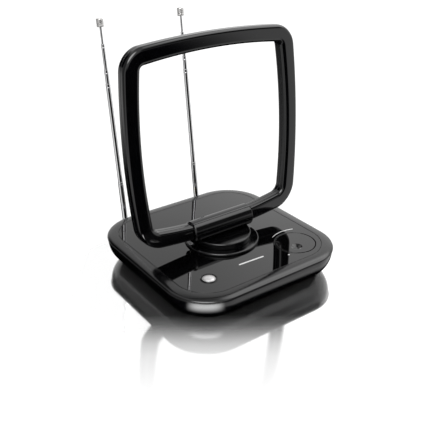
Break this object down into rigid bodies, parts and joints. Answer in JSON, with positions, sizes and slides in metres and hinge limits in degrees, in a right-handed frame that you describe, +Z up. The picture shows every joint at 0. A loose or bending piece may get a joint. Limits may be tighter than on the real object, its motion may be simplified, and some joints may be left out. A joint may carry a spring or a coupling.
{
  "type": "indoor television antenna",
  "caption": "Indoor television antenna with telescopic rods behind a gloss square base, and a rounded square loop that tilts on a swivelling pedestal.",
  "frame": {"origin": "on the surface that the feet rest on, under the centre of the whole object's box, which lies 20.8 mm behind the base's own centre because the rods lean back", "axes": "+X towards the right-hand rod seen from the front, +Y from the front edge with the knob and button towards the rods, +Z up"},
  "size_m": [0.186, 0.2216, 0.2235],
  "materials": {
    "gloss_black": "piano black moulding, mirror gloss",
    "satin_black": "satin moulded plastic",
    "silver_paint": "satin silver paint",
    "rubber": "matt rubber",
    "chrome": "polished chrome plate",
    "steel": "zinc plated steel",
    "plated_brass": "bright brass",
    "tin_plate": "folded tin plate",
    "circuit_board": "solder resist over laminate",
    "nylon": "natural nylon"
  },
  "bodies": {
    "base": {"lower_tub": "gloss_black", "upper_housing": "gloss_black", "top_plate": "gloss_black", "swivel_ring": "gloss_black", "button_bezel": "gloss_black", "ballast_plate": "steel", "control_board": "circuit_board", "amplifier_board": "circuit_board", "shield_can": "tin_plate", "coax_socket": "plated_brass", "power_inlet": "satin_black", "gain_potentiometer": "satin_black", "power_switch": "satin_black", "foot_front_left": "rubber", "foot_front_right": "rubber", "foot_rear_left": "rubber", "foot_rear_right": "rubber", "case_screw_front_left": "steel", "case_screw_front_right": "steel", "case_screw_rear_left": "steel", "case_screw_rear_right": "steel", "rod_socket_left": "satin_black", "rod_socket_right": "satin_black"},
    "pedestal": {"turntable": "gloss_black", "hinge_cap": "gloss_black", "swivel_spindle": "satin_black", "friction_washer": "steel", "retaining_nut": "nylon", "friction_bush_left": "nylon", "friction_bush_right": "nylon", "cap_screw_left": "steel", "cap_screw_right": "steel"},
    "loop": {"loop_front_shell": "gloss_black", "loop_rear_shell": "gloss_black", "loop_element": "plated_brass", "hinge_bar": "steel"},
    "knob": {"gain_knob": "gloss_black", "pot_shaft": "plated_brass"},
    "button": {"power_button": "silver_paint"},
    "left_knuckle": {"rod_left_knuckle": "satin_black", "rod_left_pivot_pin": "steel"},
    "left_rod": {"rod_left_ferrule": "chrome", "rod_left_section_1": "chrome"},
    "left_rod_2": {"rod_left_section_2": "chrome"},
    "left_rod_3": {"rod_left_section_3": "chrome"},
    "left_rod_4": {"rod_left_section_4": "chrome", "rod_left_tip_cap": "chrome"},
    "right_knuckle": {"rod_right_knuckle": "satin_black", "rod_right_pivot_pin": "steel"},
    "right_rod": {"rod_right_ferrule": "chrome", "rod_right_section_1": "chrome"},
    "right_rod_2": {"rod_right_section_2": "chrome"},
    "right_rod_3": {"rod_right_section_3": "chrome"},
    "right_rod_4": {"rod_right_section_4": "chrome", "rod_right_tip_cap": "chrome"}
  },
  "joints": [
    {"name": "pedestal_swivel", "type": "hinge", "parent": "base", "child": "pedestal", "pos_m": [0, -0.02519, 0.0315], "axis": [0, 0, 1], "range_deg": [-90, 90]},
    {"name": "loop_tilt", "type": "hinge", "parent": "pedestal", "child": "loop", "pos_m": [0, -0.02219, 0.0444], "axis": [1, 0, 0], "range_deg": [-25, 94]},
    {"name": "gain_turn", "type": "hinge", "parent": "base", "child": "knob", "pos_m": [0.0516, -0.07359, 0.029], "axis": [0, 0, 1], "range_deg": [-250, 20]},
    {"name": "power_press", "type": "slide", "parent": "base", "child": "button", "axis": [0, 0, -1], "range_m": [0, 0.0012], "stiffness_N_per_m": 400, "springref_m": -0.0005},
    {"name": "left_rod_spread", "type": "hinge", "parent": "base", "child": "left_knuckle", "pos_m": [-0.0453, 0.08241, 0.0095], "axis": [0, 1, 0], "range_deg": [-90, 20]},
    {"name": "left_rod_tilt", "type": "hinge", "parent": "left_knuckle", "child": "left_rod", "pos_m": [-0.0453, 0.08241, 0.0095], "axis": [1, 0, 0], "range_deg": [-83.2, 6.8]},
    {"name": "left_rod_slide_2", "type": "slide", "parent": "left_rod", "child": "left_rod_2", "axis": [0, 0.1184, 0.993], "range_m": [-0.0132, 0.0745]},
    {"name": "left_rod_slide_3", "type": "slide", "parent": "left_rod_2", "child": "left_rod_3", "axis": [0, 0.1184, 0.993], "range_m": [-0.0242, 0.0617]},
    {"name": "left_rod_slide_4", "type": "slide", "parent": "left_rod_3", "child": "left_rod_4", "axis": [0, 0.1184, 0.993], "range_m": [-0.0155, 0.0712]},
    {"name": "right_rod_spread", "type": "hinge", "parent": "base", "child": "right_knuckle", "pos_m": [0.0453, 0.08241, 0.0095], "axis": [0, 1, 0], "range_deg": [-20, 90]},
    {"name": "right_rod_tilt", "type": "hinge", "parent": "right_knuckle", "child": "right_rod", "pos_m": [0.0453, 0.08241, 0.0095], "axis": [1, 0, 0], "range_deg": [-83.2, 6.8]},
    {"name": "right_rod_slide_2", "type": "slide", "parent": "right_rod", "child": "right_rod_2", "axis": [0, 0.1184, 0.993], "range_m": [-0.0132, 0.0745]},
    {"name": "right_rod_slide_3", "type": "slide", "parent": "right_rod_2", "child": "right_rod_3", "axis": [0, 0.1184, 0.993], "range_m": [-0.0242, 0.0617]},
    {"name": "right_rod_slide_4", "type": "slide", "parent": "right_rod_3", "child": "right_rod_4", "axis": [0, 0.1184, 0.993], "range_m": [-0.0155, 0.0712]}
  ]
}
